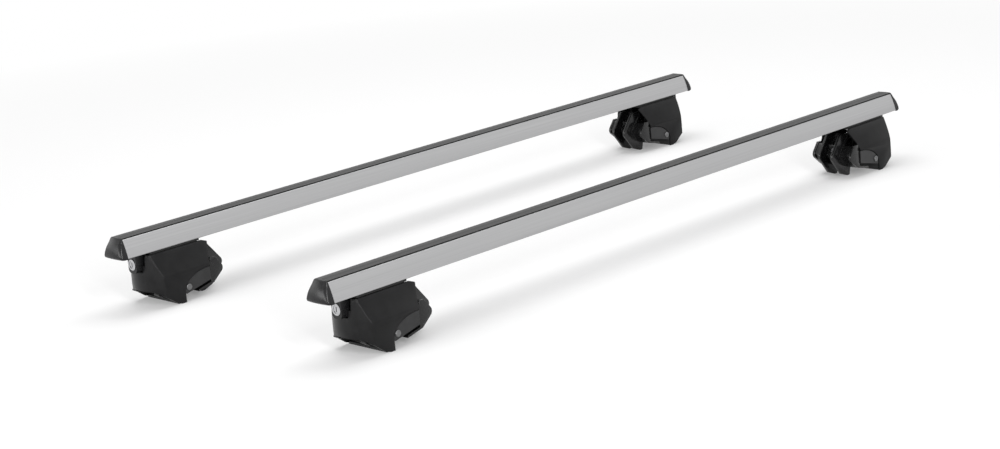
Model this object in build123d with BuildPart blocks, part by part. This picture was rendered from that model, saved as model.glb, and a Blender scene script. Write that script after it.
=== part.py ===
from build123d import *
import os

# Roof rack: a pair of bars, each on two clamp feet that grip a raised roof rail.
# X runs along the bars, Y from the front bar to the rear bar, Z up from the floor.
# Feet are drawn once in their own frame: x inward from the bar's cut end, y across, z up.

# Bars
bar_length = 1200.0
bar_spacing = 438.0
bar_bottom_width = 43.8
bar_top_width = 24.8
bar_height = 26.6
bar_side_bulge = 0.9
bar_wall = 2.0
bar_corner = 1.0
top_channel_width = 18.0
top_channel_depth = 8.0
top_slot_width = 11.0
low_channel_width = 17.0
low_channel_depth = 6.0
low_slot_width = 8.6
channel_lip = 2.4

# Rubber strip in the top channel
strip_thickness = 2.2
strip_crown = 0.5
strip_edge_setback = 0.3
strip_barb_width = 13.6
strip_barb_height = 2.2
strip_stem_depth = 5.4
fit_gap = 0.15

# End caps
cap_length = 13.0
cap_top_length = 3.0
cap_bulge_length = 10.0
cap_bulge_height = 17.0
cap_heel_length = 9.5
cap_heel_height = 4.0
cap_heel_mid = (12.1, 0.7)
cap_overhang = 0.5
cap_corner = 8.5
cap_crown = 1.6
cap_edge = 2.0
cap_plug_depth = 16.0

# Foot, overall
foot_height = 80.0
overrun = 1.0

# Moulded cover of the foot
cover_wall = 2.6
cover_top_half = 22.6
cover_crease_half = 39.4
cover_foot_half = 40.0
cover_crease_drop = 35.0
cover_crease_round = 9.0
cover_top_drop_out = 3.4
cover_top_drop_in = 6.3
cover_top_flat_in = 126.0
cover_top_in = 134.0
cover_waist_in = 126.0
cover_waist_drop = 24.0
cover_edge_in = 123.0
cover_edge_drop = 38.0
cover_foot_in = 76.0
nose_axis = 85.7
nose_radius_top = 55.5
nose_radius_mid = 58.0
nose_radius_foot = 57.5
nose_edge_round = 1.5
rim_out = 33.0
rim_out_height = 23.0
rim_low = 60.0
rim_low_height = 3.0
rim_flat = 69.0
rim_round = 5.0
rim_back_rise = 4.0
arch_height = 14.0
shell_gap = 0.3

# Notch of the cover round the lock
notch_half = 14.0
notch_drop = 19.0

# Steel bracket inside the foot
steel = 3.0
bracket_half = 17.0
bracket_out = 44.0
bracket_in = 111.0
bracket_leg_drop = 46.0
bracket_flange_in = 122.0
bracket_ear_radius = 5.5
hole_gap = 0.3

# Rubber saddle under the bar
saddle_thickness = 3.0
saddle_half = 20.2
saddle_out = 38.0
saddle_in = 125.0
saddle_corner = 3.0

# Bolts that hold the foot to the bar's lower channel
bolt_radius = 3.0
bolt_head_radius = 5.0
bolt_head_height = 6.0
bolt_socket_flats = 5.0
bolt_socket_depth = 3.2
bolt_places = (62.0, 100.0)
slot_nut_thickness = 4.0
slot_nut_margin = 9.0
thread_gap = 0.05

# Jaw block: outer jaw, flanks in the cover's arches and the roof of the rail mouth
flank_half = 38.7
arch_groove = 1.1
roof_height_in = 21.7
roof_slope = 0.23
roof_bevel = 1.5
jaw_step = 0.5
outer_jaw_thickness = 7.0
flank_thickness = 4.5
block_top_gap = 0.3
nose_half = 27.0
nose_top_height = 47.0
nose_low_in = 129.0
nose_front_gap = 1.7
sole_out = 64.0
sole_height = 3.3
floor_gap = 0.3
latch_width = 10.0
latch_place = 26.0
latch_tip = 35.0
latch_bend = 41.0
latch_gap = 1.0
latch_thickness = 2.0
latch_rise = 3.0
latch_root_low = 5.0
latch_root_top = 11.0

# Rubber pads of the mouth
pad_thickness = 1.8
pad_half = 26.0
jaw_pad_out = 101.0
jaw_pad_in = 126.0
claw_pad_out = 107.0
claw_pad_in = 125.0
mouth_gap = 1.0

# Cross pin through the outer jaw
pin_place = 83.5
pin_height = 20.6
pin_radius = 3.0
pin_head_radius = 4.6
pin_head_height = 1.6
pin_head_dome = 0.9

# Claw with four ribs
rib_thickness = 4.4
rib_places = (-35.0, -12.0, 12.0, 35.0)
knee_in = 166.0
knee_height = 36.0
knee_round = 8.0
rib_lean = 0.81
rib_top = 68.0
heel_in = 142.0
heel_height = 6.0
toe_in = 127.0
toe_out = 121.0
toe_back = 118.0
toe_round = 2.0
outer_knee_in = 150.0
outer_knee_height = 33.0
outer_rib_top = 52.0
outer_heel_in = 128.5
plate_bend_in = 127.0
web_setback = 20.0
web_thickness = 5.0
wide_web_top = 50.0
upper_web_top = 66.0
upper_web_half = 16.0
arm_thickness = 3.2
arm_bevel = 1.5
claw_tip = 101.0
claw_floor_gap = 0.5
claw_edge_gap = 1.2
tongue_out = 92.0
tongue_half = 13.7
tongue_rise = 9.0
tongue_bite = 3.0

# Clamp screw
screw_radius = 4.0
screw_drop = 38.0
screw_end = 142.0
screw_head_radius = 6.5
screw_head_height = 8.0
screw_socket_flats = 6.0
screw_socket_depth = 4.5
running_gap = 0.05

# Lock
lock_drop = 16.0
lock_radius = 7.95
lock_face = 18.6
lock_back = 40.0
housing_half = 9.4
housing_face = 19.4
housing_drop = 28.5
housing_round = 6.0
ring_width = 2.4
ring_depth = 0.7
keyway_width = 1.4
keyway_length = 7.0
keyway_depth = 6.0
cam_stub_radius = 3.6
cam_hub_radius = 4.5
cam_length = 12.0
cam_width = 7.0
cam_thickness = 2.5

os.makedirs("parts", exist_ok=True)

bar_half_bottom = bar_bottom_width / 2
bar_half_top = bar_top_width / 2
low_web_top = channel_lip + low_channel_depth + bar_wall
top_channel_floor = bar_height - channel_lip - top_channel_depth
middle_top = top_channel_floor - bar_wall


def bar_side_at(height):
    """Half width of the bar's outside, taken straight between its corners."""
    return bar_half_bottom + (bar_half_top - bar_half_bottom) * height / bar_height


def inner_hollow(low, high, shrink=0.0):
    """Points of the middle hollow, which the end cap's plug fills."""
    low, high = low + shrink, high - shrink
    return [
        (-bar_side_at(low) + bar_wall + shrink, low),
        (bar_side_at(low) - bar_wall - shrink, low),
        (bar_side_at(high) - bar_wall - shrink, high),
        (-bar_side_at(high) + bar_wall + shrink, high),
    ]


def bar_outline(grow, top):
    """Closed outline of the bar's section up to a height, with gently bulging sides."""
    low, high = -grow, top
    half_low, half_high = bar_side_at(0) + grow, bar_side_at(top) + grow
    half_mid = (half_low + half_high) / 2 + bar_side_bulge
    with BuildLine() as outline:
        ThreePointArc((half_low, low), (half_mid, (low + high) / 2), (half_high, high))
        Line((half_high, high), (-half_high, high))
        ThreePointArc((-half_high, high), (-half_mid, (low + high) / 2), (-half_low, low))
        Line((-half_low, low), (half_low, low))
    return outline.line


# Extruded bar: two T channels with a web between them and hollow flanks
with BuildPart() as bar:
    with BuildSketch(Plane.YZ.offset(-bar_length / 2)) as bar_section:
        add(bar_outline(0, bar_height))
        make_face()
        fillet(bar_section.vertices(), bar_corner)
        with Locations((0, top_channel_floor + top_channel_depth / 2)):
            Rectangle(top_channel_width, top_channel_depth, mode=Mode.SUBTRACT)
        with Locations((0, bar_height - channel_lip / 2)):
            Rectangle(top_slot_width, channel_lip * 2, mode=Mode.SUBTRACT)
        with Locations((0, channel_lip + low_channel_depth / 2)):
            Rectangle(low_channel_width, low_channel_depth, mode=Mode.SUBTRACT)
        with Locations((0, channel_lip / 2)):
            Rectangle(low_slot_width, channel_lip * 2, mode=Mode.SUBTRACT)
        with BuildLine():
            Polyline(*inner_hollow(low_web_top, middle_top), close=True)
        make_face(mode=Mode.SUBTRACT)
        flank_in = low_channel_width / 2 + bar_wall
        for side in (-1, 1):
            with BuildLine():
                Polyline(
                    (side * flank_in, bar_wall),
                    (side * (bar_side_at(bar_wall) - bar_wall), bar_wall),
                    (side * (bar_side_at(low_web_top - bar_wall) - bar_wall), low_web_top - bar_wall),
                    (side * flank_in, low_web_top - bar_wall),
                    close=True,
                )
            make_face(mode=Mode.SUBTRACT)
    extrude(amount=bar_length)

# Rubber strip: a low crowned band with a barbed stem in the top channel
with BuildPart() as strip:
    with BuildSketch(Plane.YZ.offset(-bar_length / 2)) as strip_section:
        band_half = bar_half_top - strip_edge_setback
        band_top = bar_height + strip_thickness
        shoulder_height = band_top - strip_crown
        with BuildLine():
            Line((-band_half, bar_height), (band_half, bar_height))
            Line((band_half, bar_height), (band_half, shoulder_height))
            ThreePointArc((band_half, shoulder_height), (0, band_top), (-band_half, shoulder_height))
            Line((-band_half, shoulder_height), (-band_half, bar_height))
        make_face()
        fillet(strip_section.vertices().group_by(Axis.Y)[-1], strip_crown)
        with Locations((0, bar_height - strip_stem_depth / 2)):
            Rectangle(top_slot_width - 2 * fit_gap, strip_stem_depth)
        with Locations((0, bar_height - channel_lip - fit_gap - strip_barb_height / 2)):
            Rectangle(strip_barb_width, strip_barb_height)
    extrude(amount=bar_length)

# End cap: sloping domed end with rounded corners and a plug in the middle hollow
with BuildPart() as end_cap:
    with BuildSketch(Plane.YZ) as cap_section:
        add(bar_outline(cap_overhang, band_top))
        make_face()
        fillet(cap_section.vertices().group_by(Axis.Y)[-1], cap_edge)
        fillet(cap_section.vertices().group_by(Axis.Y)[0], bar_corner)
    extrude(amount=cap_length)
    with BuildSketch(Plane.XY.offset(-cap_overhang)) as cap_plan:
        shoulder = cap_length - cap_crown
        cap_half = bar_half_bottom + cap_overhang
        with BuildLine():
            Line((0, cap_half), (0, -cap_half))
            Line((0, -cap_half), (shoulder, -cap_half))
            ThreePointArc((shoulder, -cap_half), (cap_length, 0), (shoulder, cap_half))
            Line((shoulder, cap_half), (0, cap_half))
        make_face()
        fillet(cap_plan.vertices().group_by(Axis.X)[-1], cap_corner)
    extrude(amount=band_top + cap_overhang, mode=Mode.INTERSECT)
    with BuildSketch(Plane.XZ):
        with BuildLine():
            Polyline((cap_top_length, band_top), (0, band_top), (0, -cap_overhang),
                     (cap_heel_length, -cap_overhang))
            ThreePointArc((cap_heel_length, -cap_overhang), cap_heel_mid, (cap_length, cap_heel_height))
            ThreePointArc((cap_length, cap_heel_height), (cap_bulge_length, cap_bulge_height),
                          (cap_top_length, band_top))
        make_face()
    extrude(amount=cap_half, both=True, mode=Mode.INTERSECT)
    with BuildSketch(Plane.YZ):
        with BuildLine():
            Polyline(*inner_hollow(low_web_top, middle_top, fit_gap), close=True)
        make_face()
    extrude(amount=-cap_plug_depth)

# Heights of the foot, measured up from the floor
bar_floor = foot_height
saddle_floor = bar_floor - saddle_thickness
crease_height = bar_floor - cover_crease_drop
edge_height = bar_floor - cover_edge_drop
screw_height = bar_floor - screw_drop
lock_height = bar_floor - lock_drop
tall = foot_height + 20.0


def nose_form(inset):
    """Barrel-shaped outer end of the foot, run on straight to its inner end."""
    top_x = nose_axis - nose_radius_top + inset
    mid_x = nose_axis - nose_radius_mid + inset
    foot_x = nose_axis - nose_radius_foot + inset
    top_z = bar_floor - cover_top_drop_out
    with BuildPart() as nose:
        with BuildSketch(Plane.XZ):
            with BuildLine():
                Polyline((nose_axis, -overrun), (nose_axis, tall), (top_x, tall), (top_x, top_z))
                ThreePointArc((top_x, top_z), (mid_x, crease_height), (foot_x, -overrun))
                Line((foot_x, -overrun), (nose_axis, -overrun))
            make_face()
        revolve(axis=Axis((nose_axis, 0, 0), (0, 0, 1)))
        with BuildSketch(Plane.XY.offset(-overrun)):
            with Locations((nose_axis, 0)):
                Rectangle(cover_top_in, 3 * cover_foot_half, align=(Align.MIN, Align.CENTER))
        extrude(amount=tall + overrun)
    return nose.part


def cover_form(inset, nose):
    """Tall form of the cover's outside, or of its hollow when set in by the wall."""
    top_half, crease_half = cover_top_half - inset, cover_crease_half - inset
    foot_half, top_z = cover_foot_half - inset, bar_floor - cover_top_drop_out
    with BuildPart() as form:
        with BuildSketch(Plane.YZ) as across:
            with BuildLine():
                Polyline(
                    (top_half, tall), (top_half, top_z), (crease_half, crease_height),
                    (foot_half, -overrun), (-foot_half, -overrun), (-crease_half, crease_height),
                    (-top_half, top_z), (-top_half, tall), close=True,
                )
            make_face()
            creases = across.vertices().filter_by_position(
                Axis.Y, crease_height - overrun, crease_height + overrun)
            fillet(creases, cover_crease_round)
        extrude(amount=cover_top_in + overrun)
        add(nose, mode=Mode.INTERSECT)
    return form.part


# Moulded cover: flared shell, open above and below, with an arch cut in each side
cover_outside = cover_form(0, nose_form(0))
cover_hollow = cover_form(cover_wall, nose_form(cover_wall))
with BuildPart() as cover:
    add(cover_outside)
    side_edges = cover.edges().filter_by(GeomType.LINE, reverse=True).filter_by_position(
        Axis.X, rim_out, cover_top_in / 2)
    fillet([edge for edge in side_edges if abs(edge.center().Y) > notch_half], nose_edge_round)
    with BuildSketch(Plane.XZ) as cover_profile:
        with BuildLine():
            Polyline(
                (rim_flat, 0), (rim_low, rim_low_height), (rim_out, rim_out_height),
                (0, rim_out_height + rim_back_rise), (0, bar_floor - cover_top_drop_out),
                (cover_top_flat_in, bar_floor - cover_top_drop_out),
                (cover_top_in, bar_floor - cover_top_drop_in),
                (cover_waist_in, bar_floor - cover_waist_drop), (cover_edge_in, edge_height),
            )
            EllipticalCenterArc((cover_edge_in, arch_height), cover_edge_in - cover_foot_in,
                                edge_height - arch_height, start_angle=90, arc_size=90)
            Polyline((cover_foot_in, arch_height), (cover_foot_in, 0), (rim_flat, 0))
        make_face()
        rim_bends = cover_profile.vertices().filter_by_position(Axis.X, rim_out - overrun, rim_low + overrun)
        fillet(rim_bends, rim_round)
    extrude(amount=2 * cover_foot_half, both=True, mode=Mode.INTERSECT)
    add(cover_hollow, mode=Mode.SUBTRACT)
    with BuildSketch(Plane.YZ):
        with Locations((0, bar_floor - notch_drop)):
            Rectangle(2 * notch_half, tall, align=(Align.CENTER, Align.MIN))
        with Locations((0, bar_floor - housing_drop - shell_gap)):
            Rectangle(2 * (housing_half + shell_gap), tall, align=(Align.CENTER, Align.MIN))
    extrude(amount=bracket_out, mode=Mode.SUBTRACT)

# Steel bracket: a channel under the bar with a front wall and two ears for the cross pin
leg_foot = bar_floor - bracket_leg_drop
bracket_top = saddle_floor
bracket_inner_half = bracket_half - steel
with BuildPart() as bracket:
    with BuildSketch(Plane.XZ):
        with BuildLine():
            Polyline((bracket_out, leg_foot), (bracket_out, bracket_top), (bracket_in, bracket_top),
                     (bracket_in, leg_foot), close=True)
        make_face()
        with Locations((pin_place, pin_height)):
            Circle(bracket_ear_radius)
            Rectangle(2 * bracket_ear_radius, leg_foot - pin_height + overrun,
                      align=(Align.CENTER, Align.MIN))
    extrude(amount=bracket_half, both=True)
    with BuildSketch(Plane.XZ):
        with Locations((bracket_out + steel, bracket_top - steel)):
            Rectangle(bracket_in, tall, align=(Align.MIN, Align.MAX))
    extrude(amount=bracket_inner_half, both=True, mode=Mode.SUBTRACT)
    with BuildSketch(Plane.XY.offset(bracket_top)):
        with Locations((bracket_in, 0)):
            Rectangle(bracket_flange_in - bracket_in, 2 * bracket_half, align=(Align.MIN, Align.CENTER))
    extrude(amount=-steel)
    with BuildSketch(Plane.XY.offset(bracket_top)):
        with Locations(*[(x, 0) for x in bolt_places]):
            Circle(bolt_radius + hole_gap)
    extrude(amount=-steel, mode=Mode.SUBTRACT)
    with BuildSketch(Plane.YZ.offset(bracket_out)):
        with Locations((0, screw_height)):
            Circle(screw_radius + running_gap)
        with Locations((0, lock_height)):
            Circle(cam_stub_radius + hole_gap)
    extrude(amount=steel, mode=Mode.SUBTRACT)
    with BuildSketch(Plane.XZ):
        with Locations((pin_place, pin_height)):
            Circle(pin_radius + running_gap)
    extrude(amount=bracket_half, both=True, mode=Mode.SUBTRACT)

# Rubber saddle between the bracket and the bar
with BuildPart() as saddle_pad:
    with BuildSketch(Plane.XY.offset(saddle_floor)):
        with Locations(((saddle_out + saddle_in) / 2, 0)):
            RectangleRounded(saddle_in - saddle_out, 2 * saddle_half, saddle_corner)
        with Locations(*[(x, 0) for x in bolt_places]):
            Circle(bolt_radius + hole_gap, mode=Mode.SUBTRACT)
    extrude(amount=saddle_thickness)

# Socket-head bolts up into the nut plate of the bar's lower channel
slot_nut_floor = bar_floor + channel_lip + fit_gap
head_floor = bracket_top - steel - bolt_head_height
with BuildPart() as channel_bolts:
    with BuildSketch(Plane.XY.offset(head_floor)):
        with Locations(*[(x, 0) for x in bolt_places]):
            Circle(bolt_head_radius)
    extrude(amount=bolt_head_height)
    with BuildSketch(Plane.XY.offset(head_floor)):
        with Locations(*[(x, 0) for x in bolt_places]):
            Circle(bolt_radius)
    extrude(amount=slot_nut_floor + slot_nut_thickness - head_floor)
    with BuildSketch(Plane.XY.offset(head_floor)):
        with Locations(*[(x, 0) for x in bolt_places]):
            RegularPolygon(bolt_socket_flats / 2, 6, major_radius=False)
    extrude(amount=bolt_socket_depth, mode=Mode.SUBTRACT)

with BuildPart() as slot_nut:
    with BuildSketch(Plane.XY.offset(slot_nut_floor)):
        with Locations(((bolt_places[0] + bolt_places[-1]) / 2, 0)):
            Rectangle(bolt_places[-1] - bolt_places[0] + 2 * slot_nut_margin,
                      low_channel_width - 2 * fit_gap)
        with Locations(*[(x, 0) for x in bolt_places]):
            Circle(bolt_radius + thread_gap, mode=Mode.SUBTRACT)
    extrude(amount=slot_nut_thickness)


def roof_height(x):
    """Height of the sloping roof of the rail mouth."""
    return roof_height_in + roof_slope * (x - cover_edge_in)


def arm_height(x):
    """Height of the claw's lower arm, under the two pads and the gap between them."""
    return roof_height(x) - 2 * pad_thickness - mouth_gap


def rib_front(height):
    """Front line of the inner ribs above the knee."""
    return knee_in - rib_lean * (height - knee_height)


def rim_height(x):
    """Height of the cover's lower rim, taken straight between its two bends."""
    return rim_out_height + (rim_low_height - rim_out_height) * (x - rim_out) / (rim_low - rim_out)


# Jaw block: outer jaw, arch flanks, nose and the latches that hook under the cover's rim
block_top = screw_height - tongue_rise - block_top_gap
jaw_in = cover_foot_in - jaw_step
jaw_out = jaw_in - outer_jaw_thickness
flank_out = cover_foot_in + arch_groove
core_half = cover_crease_half - cover_wall - shell_gap
web_back = web_setback + web_thickness
ear_pocket_low = pin_height - bracket_ear_radius - shell_gap
ear_pocket_half = bracket_ear_radius + shell_gap
with BuildPart() as jaw_block:
    with BuildSketch(Plane.XZ):
        with BuildLine():
            Line((cover_edge_in, roof_height_in), (cover_edge_in, edge_height - arch_groove))
            EllipticalCenterArc((cover_edge_in, arch_height), cover_edge_in - cover_foot_in - arch_groove,
                                edge_height - arch_height - arch_groove, start_angle=90, arc_size=90)
            Polyline((flank_out, arch_height), (flank_out, roof_height(flank_out) + roof_bevel),
                     (flank_out + roof_bevel, roof_height(flank_out + roof_bevel)),
                     (cover_edge_in, roof_height_in))
        make_face()
    extrude(amount=flank_half, both=True)
    with BuildSketch(Plane.XZ):
        with Locations((0, block_top)):
            Rectangle(cover_top_in, tall, align=(Align.MIN, Align.MIN))
    extrude(amount=flank_half - flank_thickness, both=True, mode=Mode.SUBTRACT)
    with BuildSketch(Plane.XZ):
        with BuildLine():
            Polyline((sole_out, floor_gap), (jaw_in, floor_gap), (jaw_in, roof_height(jaw_in) - roof_bevel),
                     (jaw_in + roof_bevel, roof_height(jaw_in + roof_bevel)),
                     (cover_edge_in, roof_height_in), (cover_edge_in, block_top), (jaw_out, block_top),
                     (jaw_out, sole_height), (sole_out, sole_height), close=True)
        make_face()
    extrude(amount=core_half, both=True)
    with BuildSketch(Plane.XZ):
        with BuildLine():
            Polyline(
                (cover_edge_in, roof_height_in), (nose_low_in, roof_height(nose_low_in)),
                (rib_front(knee_height) - web_back - nose_front_gap, knee_height),
                (rib_front(nose_top_height) - web_back - nose_front_gap, nose_top_height),
                (cover_edge_in, nose_top_height), close=True,
            )
        make_face()
    extrude(amount=nose_half, both=True)
    with BuildSketch(Plane.XZ):
        with Locations((0, block_top)):
            Rectangle(knee_in, tall, align=(Align.MIN, Align.MIN))
    extrude(amount=bracket_inner_half, both=True, mode=Mode.SUBTRACT)
    with BuildSketch(Plane.XZ):
        with Locations((pin_place, ear_pocket_low)):
            Rectangle(2 * ear_pocket_half, tall, align=(Align.CENTER, Align.MIN))
    extrude(amount=bracket_half + shell_gap, both=True, mode=Mode.SUBTRACT)
    with BuildSketch(Plane.XZ):
        with Locations((pin_place, ear_pocket_low - shell_gap)):
            Rectangle(2 * (ear_pocket_half + shell_gap), block_top - ear_pocket_low + shell_gap,
                      align=(Align.CENTER, Align.MIN))
    extrude(amount=bracket_inner_half - shell_gap, both=True)
    for side in (-1, 1):
        with BuildSketch(Plane.XZ.offset(side * latch_place - latch_width / 2)):
            with BuildLine():
                Polyline(
                    (latch_tip, rim_height(latch_tip) - latch_gap - latch_thickness),
                    (latch_tip, rim_height(latch_tip) - latch_gap),
                    (latch_bend, rim_height(latch_bend) - latch_gap),
                    (latch_bend, rim_height(latch_bend) + latch_rise),
                    (jaw_out + overrun, latch_root_top), (jaw_out + overrun, latch_root_low),
                    (latch_bend + latch_thickness, rim_height(latch_bend) - latch_gap - latch_thickness),
                    close=True,
                )
            make_face()
        extrude(amount=latch_width)
    with BuildSketch(Plane.XZ):
        with Locations((pin_place, pin_height)):
            Circle(pin_radius + running_gap)
    extrude(amount=2 * flank_half, both=True, mode=Mode.SUBTRACT)

# Cross pin with low domed heads on the flanks
with BuildPart() as cross_pin:
    with BuildSketch(Plane.XZ):
        with Locations((pin_place, pin_height)):
            Circle(pin_radius)
    extrude(amount=flank_half, both=True)
    for side in (-1, 1):
        with BuildSketch(Plane.XZ.offset(side * flank_half)):
            with Locations((pin_place, pin_height)):
                Circle(pin_head_radius)
        extrude(amount=side * pin_head_height)
    rims = cross_pin.edges().filter_by(GeomType.CIRCLE).sort_by(Axis.Y)
    fillet([rims[0], rims[-1]], pin_head_dome)

# Rubber pads on the roof of the mouth and on the claw's lower arm
with BuildPart() as jaw_pad:
    with BuildSketch(Plane.XZ):
        with BuildLine():
            Polyline((jaw_pad_out, roof_height(jaw_pad_out)), (jaw_pad_in, roof_height(jaw_pad_in)),
                     (jaw_pad_in, roof_height(jaw_pad_in) - pad_thickness),
                     (jaw_pad_out, roof_height(jaw_pad_out) - pad_thickness), close=True)
        make_face()
    extrude(amount=pad_half, both=True)

with BuildPart() as claw_pad:
    with BuildSketch(Plane.XZ):
        with BuildLine():
            Polyline((claw_pad_out, arm_height(claw_pad_out)), (claw_pad_in, arm_height(claw_pad_in)),
                     (claw_pad_in, arm_height(claw_pad_in) + pad_thickness),
                     (claw_pad_out, arm_height(claw_pad_out) + pad_thickness), close=True)
        make_face()
    extrude(amount=pad_half, both=True)

# Claw: four hooked ribs on a bent plate, with a tongue that takes the clamp screw
plate_bend = (plate_bend_in, arm_height(plate_bend_in))
plate_heel = (outer_heel_in, arm_height(outer_heel_in) - arm_thickness)
arm_tip = (claw_tip, arm_height(claw_tip) - arm_thickness)
edge_at_rib_top = cover_edge_in + (outer_rib_top - edge_height) * (
    (cover_waist_in - cover_edge_in) / (bar_floor - cover_waist_drop - edge_height))
with BuildPart() as claw:
    for place in rib_places:
        with BuildSketch(Plane.XZ.offset(-place - rib_thickness / 2)) as rib_face:
            with BuildLine():
                if abs(place) == max(rib_places):
                    Polyline(
                        arm_tip, (cover_edge_in + claw_edge_gap, arm_height(cover_edge_in + claw_edge_gap)),
                        (cover_edge_in + claw_edge_gap, edge_height),
                        (edge_at_rib_top + claw_edge_gap, outer_rib_top),
                        (outer_knee_in - rib_lean * (outer_rib_top - outer_knee_height), outer_rib_top),
                        (outer_knee_in, outer_knee_height), plate_heel, close=True,
                    )
                else:
                    Polyline(
                        plate_bend, (rib_front(knee_height) - web_back, knee_height),
                        (rib_front(rib_top) - web_back, rib_top), (rib_front(rib_top), rib_top),
                        (knee_in, knee_height), (heel_in, heel_height), (toe_in, claw_floor_gap),
                        (toe_out, claw_floor_gap), (toe_back, arm_height(toe_back) - arm_thickness),
                        close=True,
                    )
            make_face()
            fillet(rib_face.vertices().sort_by(Axis.X)[-1:], knee_round)
            if abs(place) < max(rib_places):
                fillet(rib_face.vertices().group_by(Axis.Y)[0], toe_round)
        extrude(amount=rib_thickness)
    with BuildSketch(Plane.XZ):
        with BuildLine():
            Polyline(
                arm_tip, (claw_tip, arm_height(claw_tip) - arm_bevel),
                (claw_tip + arm_bevel, arm_height(claw_tip + arm_bevel)), plate_bend,
                (rib_front(knee_height) - web_back, knee_height),
                (rib_front(wide_web_top) - web_back, wide_web_top),
                (rib_front(wide_web_top) - web_setback, wide_web_top),
                (rib_front(knee_height) - web_setback, knee_height), plate_heel, close=True,
            )
        make_face()
    extrude(amount=rib_places[-1] + rib_thickness / 2, both=True)
    with BuildSketch(Plane.XZ):
        with BuildLine():
            Polyline(
                (rib_front(wide_web_top) - web_back, wide_web_top),
                (rib_front(upper_web_top) - web_back, upper_web_top),
                (rib_front(upper_web_top) - web_setback, upper_web_top),
                (rib_front(wide_web_top) - web_setback, wide_web_top), close=True,
            )
        make_face()
    extrude(amount=upper_web_half, both=True)
    with BuildSketch(Plane.YZ.offset(tongue_out)):
        with Locations((0, screw_height)):
            Rectangle(2 * tongue_half, 2 * tongue_rise)
    extrude(amount=rib_front(screw_height) - web_back + tongue_bite - tongue_out)
    with BuildSketch(Plane.YZ.offset(tongue_out)):
        with Locations((0, screw_height)):
            Circle(screw_radius + running_gap)
    extrude(amount=knee_in, mode=Mode.SUBTRACT)

# Clamp screw: socket head against the bracket's front wall, thread in the claw's tongue
screw_seat = bracket_out - running_gap
with BuildPart() as clamp_screw:
    with BuildSketch(Plane.YZ.offset(screw_seat - screw_head_height)):
        with Locations((0, screw_height)):
            Circle(screw_head_radius)
    extrude(amount=screw_head_height)
    with BuildSketch(Plane.YZ.offset(screw_seat)):
        with Locations((0, screw_height)):
            Circle(screw_radius)
    extrude(amount=screw_end - screw_seat)
    with BuildSketch(Plane.YZ.offset(screw_seat - screw_head_height)):
        with Locations((0, screw_height)):
            RegularPolygon(screw_socket_flats / 2, 6, major_radius=False)
    extrude(amount=screw_socket_depth, mode=Mode.SUBTRACT)

# Lock housing on the bracket's front wall
housing_foot = bar_floor - housing_drop
housing_top = saddle_floor - shell_gap
with BuildPart() as lock_housing:
    with BuildSketch(Plane.YZ.offset(housing_face)) as housing_section:
        with Locations((0, housing_foot)):
            Rectangle(2 * housing_half, housing_top - housing_foot, align=(Align.CENTER, Align.MIN))
        fillet(housing_section.vertices().group_by(Axis.Y)[0], housing_round)
    extrude(amount=bracket_out - housing_face)
    with BuildSketch(Plane.YZ.offset(housing_face)):
        with Locations((0, lock_height)):
            Circle(lock_radius + running_gap)
    extrude(amount=lock_back - housing_face, mode=Mode.SUBTRACT)
    with BuildSketch(Plane.YZ.offset(housing_face)):
        with Locations((0, lock_height)):
            Circle(cam_stub_radius + hole_gap)
    extrude(amount=bracket_out, mode=Mode.SUBTRACT)

# Lock barrel with its keyway and the cam behind the bracket's wall
cam_seat = bracket_out + steel + shell_gap
with BuildPart() as lock_barrel:
    with BuildSketch(Plane.YZ.offset(lock_face)):
        with Locations((0, lock_height)):
            Circle(lock_radius)
    extrude(amount=lock_back - running_gap - lock_face)
    with BuildSketch(Plane.YZ.offset(lock_face)):
        with Locations((0, lock_height)):
            Circle(cam_stub_radius)
    extrude(amount=cam_seat + cam_thickness - lock_face)
    with BuildSketch(Plane.YZ.offset(cam_seat)):
        with Locations((0, lock_height)):
            Circle(cam_hub_radius)
            Rectangle(cam_width, cam_length, align=(Align.CENTER, Align.MAX))
    extrude(amount=cam_thickness)
    with BuildSketch(Plane.YZ.offset(lock_face)):
        with Locations((0, lock_height)):
            Circle(lock_radius - ring_width)
    extrude(amount=ring_depth, mode=Mode.SUBTRACT)
    with BuildSketch(Plane.YZ.offset(lock_face)):
        with Locations((0, lock_height)):
            Rectangle(keyway_width, keyway_length)
    extrude(amount=keyway_depth, mode=Mode.SUBTRACT)

foot_pieces = {
    "cover": cover.part,
    "bracket": bracket.part,
    "saddle_pad": saddle_pad.part,
    "channel_bolts": channel_bolts.part,
    "slot_nut": slot_nut.part,
    "jaw_block": jaw_block.part,
    "jaw_pad": jaw_pad.part,
    "cross_pin": cross_pin.part,
    "claw": claw.part,
    "claw_pad": claw_pad.part,
    "clamp_screw": clamp_screw.part,
    "lock_housing": lock_housing.part,
    "lock_barrel": lock_barrel.part,
}


def write_piece(piece, name, place):
    """Puts a copy of a piece in its place and writes it under its own name."""
    placed = piece.moved(place)
    placed.label = name
    export_step(placed, f"parts/{name}.step")


# Both bars with their strips, caps and feet; the right-hand ends are the left ones turned round
for row, bar_y in (("front", -bar_spacing / 2), ("rear", bar_spacing / 2)):
    seat = Location((0, bar_y, bar_floor))
    write_piece(bar.part, f"{row}_bar", seat)
    write_piece(strip.part, f"{row}_strip", seat)
    for end, turn, bar_end in (("left", 180, -bar_length / 2), ("right", 0, bar_length / 2)):
        cap_place = Location((bar_end, bar_y, bar_floor), (0, 0, turn))
        write_piece(end_cap.part, f"{row}_{end}_end_cap", cap_place)
        foot_place = Location((bar_end, bar_y, 0), (0, 0, turn + 180))
        for name, piece in foot_pieces.items():
            write_piece(piece, f"{row}_{end}_{name}", foot_place)
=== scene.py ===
import math
import bmesh
import bpy
from mathutils import Matrix, Vector


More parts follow.
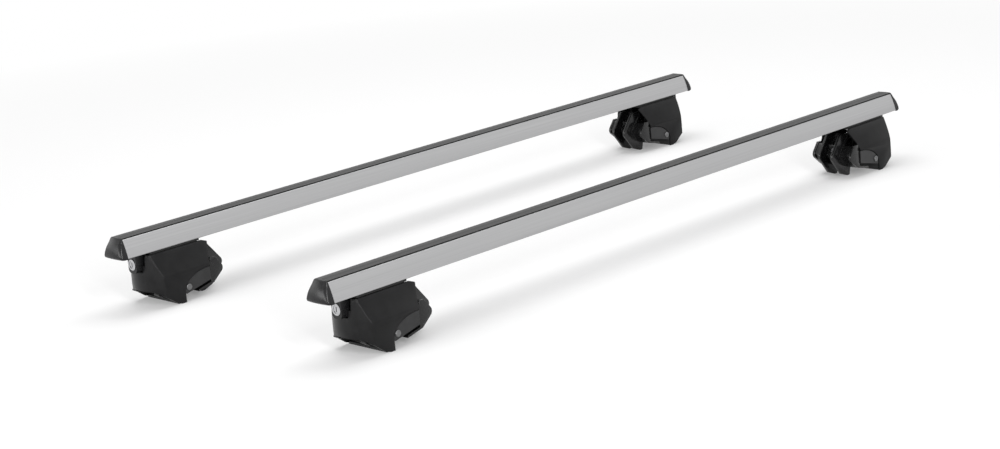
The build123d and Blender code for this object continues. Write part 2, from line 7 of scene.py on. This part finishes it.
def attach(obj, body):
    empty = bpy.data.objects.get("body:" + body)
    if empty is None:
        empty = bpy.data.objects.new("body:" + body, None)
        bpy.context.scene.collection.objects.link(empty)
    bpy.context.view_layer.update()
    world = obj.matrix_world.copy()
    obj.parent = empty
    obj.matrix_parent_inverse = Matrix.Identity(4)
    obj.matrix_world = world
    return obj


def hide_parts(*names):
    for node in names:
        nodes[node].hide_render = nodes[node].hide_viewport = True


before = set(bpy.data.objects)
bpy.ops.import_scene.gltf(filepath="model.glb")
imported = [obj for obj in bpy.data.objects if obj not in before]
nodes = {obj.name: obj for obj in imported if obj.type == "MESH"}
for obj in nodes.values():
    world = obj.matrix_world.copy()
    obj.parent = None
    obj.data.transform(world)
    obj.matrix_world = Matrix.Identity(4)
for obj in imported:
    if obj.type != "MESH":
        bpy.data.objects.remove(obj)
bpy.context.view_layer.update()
rows = ("front", "rear")
ends = ("left", "right")
barPlaces = {"end": 0.6, "spacing": 0.438}  # bars end at +-end along X and stand spacing apart along Y
print("frame loaded:", len(nodes), "nodes")


# Small helpers for the shader trees

def newMaterial(name):
    material = bpy.data.materials.new(name)
    material.use_nodes = True
    tree = material.node_tree
    shader = tree.nodes["Principled BSDF"]
    place = tree.nodes.new("ShaderNodeTexCoord").outputs["Object"]
    return material, tree, shader, place


def link(tree, source, target):
    tree.links.new(source, target)


def stretched(tree, place, scale):
    mapping = tree.nodes.new("ShaderNodeMapping")
    mapping.inputs["Scale"].default_value = scale
    link(tree, place, mapping.inputs["Vector"])
    return mapping.outputs["Vector"]


def noise(tree, place, scale, detail=3.0, roughness=0.55):
    texture = tree.nodes.new("ShaderNodeTexNoise")
    texture.inputs["Scale"].default_value = scale
    texture.inputs["Detail"].default_value = detail
    texture.inputs["Roughness"].default_value = roughness
    link(tree, place, texture.inputs["Vector"])
    return texture.outputs["Fac"]


noiseReach = {"low": 0.3, "high": 0.7}  # nearly all of a noise lies between these


def spread(tree, value, low, high, fromLow=noiseReach["low"], fromHigh=noiseReach["high"]):
    ranged = tree.nodes.new("ShaderNodeMapRange")
    ranged.inputs["From Min"].default_value = fromLow
    ranged.inputs["From Max"].default_value = fromHigh
    ranged.inputs["To Min"].default_value = low
    ranged.inputs["To Max"].default_value = high
    link(tree, value, ranged.inputs["Value"])
    return ranged.outputs["Result"]


def ramped(tree, value, colours):
    ramp = tree.nodes.new("ShaderNodeValToRGB")
    stops = ramp.color_ramp.elements
    for count, (at, colour) in enumerate(colours):
        stop = stops[count] if count < 2 else stops.new(at)  # a new ramp has two stops
        stop.position = at
        stop.color = (*colour, 1)
    link(tree, value, ramp.inputs["Fac"])
    return ramp.outputs["Color"]


def tint(tree, value, dark, light):
    return ramped(tree, value, ((noiseReach["low"], dark), (noiseReach["high"], light)))


def bump(tree, height, strength, distance, under=None):
    node = tree.nodes.new("ShaderNodeBump")
    node.inputs["Strength"].default_value = strength
    node.inputs["Distance"].default_value = distance
    link(tree, height, node.inputs["Height"])
    if under:
        link(tree, under, node.inputs["Normal"])
    return node.outputs["Normal"]


# Bar: satin anodised aluminium, drawn lengthwise

barFinish = {"dark": (0.36, 0.36, 0.364), "light": (0.41, 0.41, 0.414), "roughLow": 0.30, "roughHigh": 0.38,
             "drawLine": (3, 900, 900), "linePull": 0.25, "lineDepth": 0.00001, "grain": 2600, "grainDetail": 2.0,
             "grainPull": 0.3, "grainDepth": 0.00001}


def anodisedAluminium():
    v = barFinish
    material, tree, shader, place = newMaterial("anodisedAluminium")
    drawn = noise(tree, stretched(tree, place, v["drawLine"]), 1.0)
    grain = noise(tree, place, v["grain"], v["grainDetail"])
    shader.inputs["Metallic"].default_value = 1.0
    link(tree, tint(tree, drawn, v["dark"], v["light"]), shader.inputs["Base Color"])
    link(tree, spread(tree, drawn, v["roughLow"], v["roughHigh"]), shader.inputs["Roughness"])
    lines = bump(tree, drawn, v["linePull"], v["lineDepth"])
    link(tree, bump(tree, grain, v["grainPull"], v["grainDepth"], lines), shader.inputs["Normal"])
    return material


# Strip: black rubber with fine lines along it, and slight painted bands of sheen and shade across it that stand in
# for the light on its relief

stripFinish = {"half": 0.0121, "grain": 900, "grainPull": 0.4, "grainDepth": 0.00003, "roughLow": 0.36,
               "roughHigh": 0.50, "lines": 520, "linePull": 0.4, "lineDepth": 0.00012, "specular": 0.14, "blue": 1.01,
               "sheenAndShadeBands": ((0.00, 0.006), (0.10, 0.030), (0.32, 0.026), (0.42, 0.008), (0.52, 0.008), (0.60, 0.030),
                         (0.90, 0.040), (0.96, 0.006))}


def linedRubber():
    v = stripFinish
    material, tree, shader, place = newMaterial("linedRubber")
    axes = tree.nodes.new("ShaderNodeSeparateXYZ")
    link(tree, place, axes.inputs["Vector"])
    # Across either strip from its front edge to its back edge, 0 to 1
    spacing = barPlaces["spacing"]
    lifted = tree.nodes.new("ShaderNodeMath")
    lifted.inputs[1].default_value = spacing
    link(tree, axes.outputs["Y"], lifted.inputs[0])
    wrapped = tree.nodes.new("ShaderNodeMath")
    wrapped.operation = "MODULO"
    wrapped.inputs[1].default_value = spacing
    link(tree, lifted.outputs[0], wrapped.inputs[0])
    across = spread(tree, wrapped.outputs[0], 0, 1, spacing / 2 - v["half"], spacing / 2 + v["half"])
    # painted bands: the lighter stripes are painted sheen on the strip's lips, the darker ones painted shade between
    # them
    colours = [(at, (grey, grey, grey * v["blue"])) for at, grey in v["sheenAndShadeBands"]]
    link(tree, ramped(tree, across, colours), shader.inputs["Base Color"])
    grain = noise(tree, place, v["grain"])
    link(tree, spread(tree, grain, v["roughLow"], v["roughHigh"]), shader.inputs["Roughness"])
    wave = tree.nodes.new("ShaderNodeTexWave")
    wave.bands_direction = "Y"
    wave.inputs["Scale"].default_value = v["lines"] / (2 * math.pi)
    link(tree, place, wave.inputs["Vector"])
    lines = bump(tree, wave.outputs["Fac"], v["linePull"], v["lineDepth"])
    link(tree, bump(tree, grain, v["grainPull"], v["grainDepth"], lines), shader.inputs["Normal"])
    shader.inputs["Specular IOR Level"].default_value = v["specular"]
    return material


# Black surfaces with a grain: the cover, the smoother jaw block, the caps and the bracket's coat

mouldingNoise = {"cloudDetail": 2.0, "grainDetail": 4.0, "grainRoughness": 0.65}


def moulding(name, v):
    material, tree, shader, place = newMaterial(name)
    cloud = noise(tree, place, v["cloud"], mouldingNoise["cloudDetail"])
    grain = noise(tree, place, v["grain"], mouldingNoise["grainDetail"], mouldingNoise["grainRoughness"])
    link(tree, tint(tree, cloud, v["dark"], v["light"]), shader.inputs["Base Color"])
    link(tree, spread(tree, cloud, v["roughLow"], v["roughHigh"]), shader.inputs["Roughness"])
    link(tree, bump(tree, grain, v["grainPull"], v["grainDepth"]), shader.inputs["Normal"])
    shader.inputs["Specular IOR Level"].default_value = v["specular"]
    return material


coverFinish = {"dark": (0.004, 0.004, 0.0043), "light": (0.007, 0.007, 0.0073), "cloud": 60, "grain": 1500,
               "roughLow": 0.30, "roughHigh": 0.38, "grainPull": 0.25, "grainDepth": 0.00004, "specular": 0.18}
jawFinish = {"dark": (0.012, 0.012, 0.0125), "light": (0.019, 0.019, 0.0195), "cloud": 80, "grain": 900,
             "roughLow": 0.30, "roughHigh": 0.38, "grainPull": 0.25, "grainDepth": 0.00004, "specular": 0.35}
capFinish = {"dark": (0.005, 0.005, 0.0055), "light": (0.009, 0.009, 0.0095), "cloud": 70, "grain": 1100,
             "roughLow": 0.24, "roughHigh": 0.32, "grainPull": 0.15, "grainDepth": 0.00003, "specular": 0.28}

bracketFinish = {"dark": (0.006, 0.006, 0.0064), "light": (0.012, 0.012, 0.0124), "cloud": 90, "grain": 800,
                 "roughLow": 0.34, "roughHigh": 0.44, "grainPull": 0.25, "grainDepth": 0.00004, "specular": 0.35}


# Claw: die-cast, under a glossy black coat with a faint orange peel

clawFinish = {"dark": (0.002, 0.002, 0.0022), "light": (0.004, 0.004, 0.0042), "peel": 420, "peelDetail": 2.0,
              "peelPull": 0.3, "peelDepth": 0.00008, "roughLow": 0.22, "roughHigh": 0.30, "specular": 0.3,
              "coat": 0.25, "coatRoughness": 0.10}


def clawCoat():
    v = clawFinish
    material, tree, shader, place = newMaterial("clawCoat")
    peel = noise(tree, place, v["peel"], v["peelDetail"])
    link(tree, tint(tree, peel, v["dark"], v["light"]), shader.inputs["Base Color"])
    link(tree, spread(tree, peel, v["roughLow"], v["roughHigh"]), shader.inputs["Roughness"])
    link(tree, bump(tree, peel, v["peelPull"], v["peelDepth"]), shader.inputs["Normal"])
    shader.inputs["Specular IOR Level"].default_value = v["specular"]
    shader.inputs["Coat Weight"].default_value = v["coat"]
    shader.inputs["Coat Roughness"].default_value = v["coatRoughness"]
    return material


# Pads and saddle: matt rubber

padFinish = {"dark": (0.008, 0.008, 0.008), "light": (0.018, 0.018, 0.018), "cloud": 140, "grain": 700,
             "roughLow": 0.60, "roughHigh": 0.78, "grainPull": 0.5, "grainDepth": 0.0001, "specular": 0.35}


# Metals of the inner pieces

brushPull = 0.2


def plated(name, v):
    material, tree, shader, place = newMaterial(name)
    spangle = noise(tree, place, v["spangle"])
    fine = noise(tree, stretched(tree, place, v["brush"]), 1.0)
    shader.inputs["Metallic"].default_value = 1.0
    link(tree, tint(tree, spangle, v["dark"], v["light"]), shader.inputs["Base Color"])
    link(tree, spread(tree, fine, v["roughLow"], v["roughHigh"]), shader.inputs["Roughness"])
    link(tree, bump(tree, fine, brushPull, v["brushDepth"]), shader.inputs["Normal"])
    return material


zincFinish = {"dark": (0.44, 0.45, 0.46), "light": (0.60, 0.61, 0.61), "spangle": 120, "brush": (200, 900, 900),
              "roughLow": 0.34, "roughHigh": 0.5, "brushDepth": 0.00002}
screwFinish = {"dark": (0.50, 0.50, 0.51), "light": (0.64, 0.64, 0.65), "spangle": 260, "brush": (900, 900, 900),
               "roughLow": 0.22, "roughHigh": 0.34, "brushDepth": 0.00002}
lockFinish = {"dark": (0.40, 0.40, 0.41), "light": (0.56, 0.56, 0.57), "spangle": 300, "brush": (1500, 1500, 1500),
              "roughLow": 0.16, "roughHigh": 0.26, "brushDepth": 0.00001}
pinFinish = {"dark": (0.13, 0.13, 0.132), "light": (0.19, 0.19, 0.192), "spangle": 300, "brush": (900, 900, 900),
             "roughLow": 0.30, "roughHigh": 0.42, "brushDepth": 0.00003}

finishes = {
    "bar": anodisedAluminium(),
    "strip": linedRubber(),
    "end_cap": moulding("capPlastic", capFinish),
    "cover": moulding("coverPlastic", coverFinish),
    "jaw_block": moulding("jawPlastic", jawFinish),
    "claw": clawCoat(),
    "pad": moulding("padRubber", padFinish),
    "bracket": moulding("blackCoat", bracketFinish),
    "slot_nut": plated("zincPlate", zincFinish),
    "clamp_screw": plated("platedSteel", screwFinish),
    "lock_barrel": plated("lockChrome", lockFinish),
    "cross_pin": plated("blackenedPin", pinFinish),
}
finishes["lock_housing"] = finishes["end_cap"]
finishes["saddle_pad"] = finishes["jaw_pad"] = finishes["claw_pad"] = finishes["pad"]
finishes["channel_bolts"] = finishes["clamp_screw"]
print("finishes made:", len(finishes))


# Every CAD node takes the finish of its kind

def dress(name, kind):
    node = nodes[name]
    node.data.materials.clear()
    node.data.materials.append(finishes[kind])


footPieces = ("cover", "bracket", "saddle_pad", "channel_bolts", "slot_nut", "jaw_block", "jaw_pad", "cross_pin",
              "claw", "claw_pad", "clamp_screw", "lock_housing", "lock_barrel")
for row in rows:
    dress(f"{row}_bar", "bar")
    dress(f"{row}_strip", "strip")
    for end in ends:
        for kind in ("end_cap",) + footPieces:
            dress(f"{row}_{end}_{kind}", kind)
print("nodes dressed")


# A rounded mesh takes the place of the solid of its name

def smoothMesh(form, name, creaseAngle):
    for face in form.faces:
        face.smooth = True
    mesh = bpy.data.meshes.new(name)
    form.to_mesh(mesh)
    form.free()
    mesh.set_sharp_from_angle(angle=math.radians(creaseAngle))
    return mesh


def standFor(mesh, name, kind, body):
    mesh.materials.append(finishes[kind])
    piece = bpy.data.objects.new(mesh.name, mesh)
    bpy.context.scene.collection.objects.link(piece)
    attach(piece, body)
    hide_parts(name)


# Claws and covers with their sharp edges rounded, as castings and mouldings have them

softEdges = {"width": {"claw": 0.0007, "cover": 0.0005}, "segments": 2, "profile": 0.5, "weld": 0.00001,
             "flatAngle": 1, "sharpAngle": 28, "creaseAngle": 40}


def softened(name, kind):
    v = softEdges
    form = bmesh.new()
    form.from_mesh(nodes[name].data)
    bmesh.ops.remove_doubles(form, verts=form.verts, dist=v["weld"])
    bmesh.ops.dissolve_limit(form, angle_limit=math.radians(v["flatAngle"]), verts=form.verts, edges=form.edges)
    least = math.radians(v["sharpAngle"])
    sharp = [edge for edge in form.edges if edge.is_manifold and edge.calc_face_angle() > least]
    bmesh.ops.bevel(form, geom=sharp, offset=v["width"][kind], segments=v["segments"], profile=v["profile"],
                    affect="EDGES", clamp_overlap=True)
    return smoothMesh(form, name + "Soft", v["creaseAngle"])


# End caps: each level of a cap is a rounded oblong, longest low down and drawn in towards the top

capValues = {"floor": 0.0795, "top": 0.1088, "halfLow": 0.0224, "halfTop": 0.0121, "bulge": 0.0009,
             "heelLength": 0.0095, "length": 0.013, "heelHeight": 0.0045, "drawIn": 0.0104, "power": 1.86,
             "corner": 0.0052, "cornerShare": 0.85, "crown": 0.0012, "topRound": 0.0018, "levels": 40,
             "cornerSteps": 10, "endSteps": 8, "creaseAngle": 50}


def capOutline(height):  # points (length, sideways) round the cap at a height over its floor
    v = capValues
    tall = v["top"] - v["floor"]
    share = height / tall
    half = v["halfLow"] + (v["halfTop"] - v["halfLow"]) * share + 4 * v["bulge"] * share * (1 - share)
    if height < v["heelHeight"]:
        rise = 1 - height / v["heelHeight"]
        length = v["heelLength"] + (v["length"] - v["heelLength"]) * math.sqrt(1 - rise * rise)
    else:
        length = v["length"] - v["drawIn"] * ((height - v["heelHeight"]) / (tall - v["heelHeight"])) ** v["power"]
    over = max(0.0, height - (tall - v["topRound"])) / v["topRound"]
    inset = v["topRound"] * (1 - math.sqrt(1 - over * over))
    half, length = half - inset, length - inset
    straight = length - v["crown"]  # length at the corners, the middle stands out by the crown
    corner = min(v["corner"], v["cornerShare"] * straight)
    points = [(0.0, -half)]
    for step in range(v["cornerSteps"] + 1):
        turn = math.pi / 2 * step / v["cornerSteps"]
        points.append((straight - corner + corner * math.sin(turn), -half + corner - corner * math.cos(turn)))
    flat = half - corner
    for step in range(1, v["endSteps"]):
        y = -flat + 2 * flat * step / v["endSteps"]
        points.append((length - v["crown"] * (y / flat) ** 2, y))
    return points + [(x, -y) for x, y in reversed(points[:v["cornerSteps"] + 2])]


def makeCap(row, end):
    v = capValues
    outward = -1 if end == "left" else 1
    side = -1 if row == "front" else 1
    tall = v["top"] - v["floor"]
    rings = []
    form = bmesh.new()
    for level in range(v["levels"] + 1):
        height = tall * math.sin(math.pi / 2 * level / v["levels"])
        rings.append([form.verts.new((outward * (barPlaces["end"] + x), side * barPlaces["spacing"] / 2 + y,
                                      v["floor"] + height)) for x, y in capOutline(height)])
    for lower, upper in zip(rings, rings[1:]):
        for count in range(len(lower) - 1):
            form.faces.new((lower[count], lower[count + 1], upper[count + 1], upper[count]))
    form.faces.new(rings[0])
    form.faces.new(rings[-1])
    form.faces.new([ring[0] for ring in rings] + [ring[-1] for ring in reversed(rings)])
    bmesh.ops.recalc_face_normals(form, faces=form.faces)
    return smoothMesh(form, f"{row}_{end}_domedCap", v["creaseAngle"])


for row in rows:
    for end in ends:
        key = f"{row}_{end}"
        standFor(softened(f"{key}_claw", "claw"), f"{key}_claw", "claw", f"claw_{key}")
        standFor(softened(f"{key}_cover", "cover"), f"{key}_cover", "cover", f"foot_{key}")
        standFor(makeCap(row, end), f"{key}_end_cap", "end_cap", "bars")
print("claws, covers and caps rounded")


# Floor and background, white where they are seen or mirrored, and the floor keeps the soft shadows

floorValues = {"size": 40.0, "white": (0.88, 0.88, 0.88), "glow": 1.0, "nearShare": 0.20, "farShare": 1.0,
               "nearReach": 0.95, "farReach": 2.3}


def seenDirectly(tree):
    path = tree.nodes.new("ShaderNodeLightPath").outputs
    seen = path["Is Camera Ray"]
    for ray in ("Is Glossy Ray", "Is Transmission Ray"):
        either = tree.nodes.new("ShaderNodeMath")
        either.operation = "MAXIMUM"
        link(tree, seen, either.inputs[0])
        link(tree, path[ray], either.inputs[1])
        seen = either.outputs[0]
    return seen


def makeFloor():
    v = floorValues
    half = v["size"] / 2
    mesh = bpy.data.meshes.new("floor")
    mesh.from_pydata([(-half, -half, 0), (half, -half, 0), (half, half, 0), (-half, half, 0)], [], [(0, 1, 2, 3)])
    floor = bpy.data.objects.new("floor", mesh)
    bpy.context.scene.collection.objects.link(floor)
    material = bpy.data.materials.new("paleFloor")
    material.use_nodes = True
    tree = material.node_tree
    tree.nodes.clear()
    matt = tree.nodes.new("ShaderNodeBsdfDiffuse")
    matt.inputs["Color"].default_value = (*v["white"], 1)
    glow = tree.nodes.new("ShaderNodeEmission")
    glow.inputs["Strength"].default_value = v["glow"]
    reach = tree.nodes.new("ShaderNodeVectorMath")
    reach.operation = "LENGTH"
    link(tree, tree.nodes.new("ShaderNodeTexCoord").outputs["Object"], reach.inputs[0])
    share = tree.nodes.new("ShaderNodeMath")
    share.operation = "MULTIPLY"
    link(tree, seenDirectly(tree), share.inputs[0])
    link(tree, spread(tree, reach.outputs["Value"], v["nearShare"], v["farShare"], v["nearReach"], v["farReach"]),
         share.inputs[1])
    mix = tree.nodes.new("ShaderNodeMixShader")
    link(tree, share.outputs[0], mix.inputs["Fac"])
    link(tree, matt.outputs[0], mix.inputs[1])
    link(tree, glow.outputs[0], mix.inputs[2])
    out = tree.nodes.new("ShaderNodeOutputMaterial")
    link(tree, mix.outputs[0], out.inputs["Surface"])
    mesh.materials.append(material)


worldValues = {"fill": 0.24, "shown": 1.0}


def makeWorld():
    v = worldValues
    world = bpy.data.worlds.new("studio")
    bpy.context.scene.world = world
    world.use_nodes = True
    tree = world.node_tree
    background = tree.nodes["Background"]
    background.inputs["Color"].default_value = (1, 1, 1, 1)
    link(tree, spread(tree, seenDirectly(tree), v["fill"], v["shown"], 0, 1), background.inputs["Strength"])


# Soft boxes round the rack

softBoxes = {
    "topBox": {"at": (0.8, 0.4, 2.8), "towards": (0, 0, 0), "size": (3.6, 2.4), "power": 76},
    "rightBox": {"at": (3.9, -4.1, 2.1), "towards": (0, 0, 0.1), "size": (9.0, 2.6), "power": 16},
    "leftBox": {"at": (-4.0, 0.2, 0.9), "towards": (-0.5, 0, 0.1), "size": (5.0, 1.4), "power": 110},
    "backBox": {"at": (-2.2, 4.6, 1.6), "towards": (0, 0, 0.1), "size": (6.0, 1.8), "power": 40},
    "edgeBox": {"at": (-1.7, -3.4, 1.5), "towards": (-0.5, -0.2, 0.1), "size": (0.45, 2.6), "power": 90},
}


def makeLights():
    for name, v in softBoxes.items():
        light = bpy.data.lights.new(name, "AREA")
        light.shape = "RECTANGLE"
        light.size, light.size_y = v["size"]
        light.energy = v["power"]
        lamp = bpy.data.objects.new(name, light)
        lamp.location = v["at"]
        aim = Vector(v["towards"]) - Vector(v["at"])
        lamp.rotation_euler = aim.to_track_quat("-Z", "Y").to_euler()
        bpy.context.scene.collection.objects.link(lamp)


# Camera at the photograph's angle

cameraValues = {"heading": 46.22, "down": 14.32, "roll": -5.18, "distance": 3.298, "right": -0.0465, "up": -0.0703,
                "aimHeight": 0.080, "lens": 78.84, "sensor": 36.0}


def makeCamera():
    v = cameraValues
    heading, down, roll = (math.radians(v[key]) for key in ("heading", "down", "roll"))
    look = Vector((math.cos(heading) * math.cos(down), math.sin(heading) * math.cos(down), -math.sin(down)))
    right = look.cross(Vector((0, 0, 1))).normalized()
    up = right.cross(look)
    turnedRight = math.cos(roll) * right + math.sin(roll) * up
    turnedUp = math.cos(roll) * up - math.sin(roll) * right
    place = turnedRight * v["right"] + turnedUp * v["up"] - look * v["distance"]
    data = bpy.data.cameras.new("camera")
    data.sensor_width = v["sensor"]
    data.lens = v["lens"]
    camera = bpy.data.objects.new("camera", data)
    turn = Matrix((turnedRight, turnedUp, -look)).transposed().to_4x4()
    camera.matrix_world = Matrix.Translation(place + Vector((0, 0, v["aimHeight"]))) @ turn
    bpy.context.scene.collection.objects.link(camera)
    bpy.context.scene.camera = camera


makeFloor()
makeWorld()
makeLights()
makeCamera()
bpy.context.scene.view_settings.view_transform = "Standard"
print("floor, world, soft boxes and camera placed")
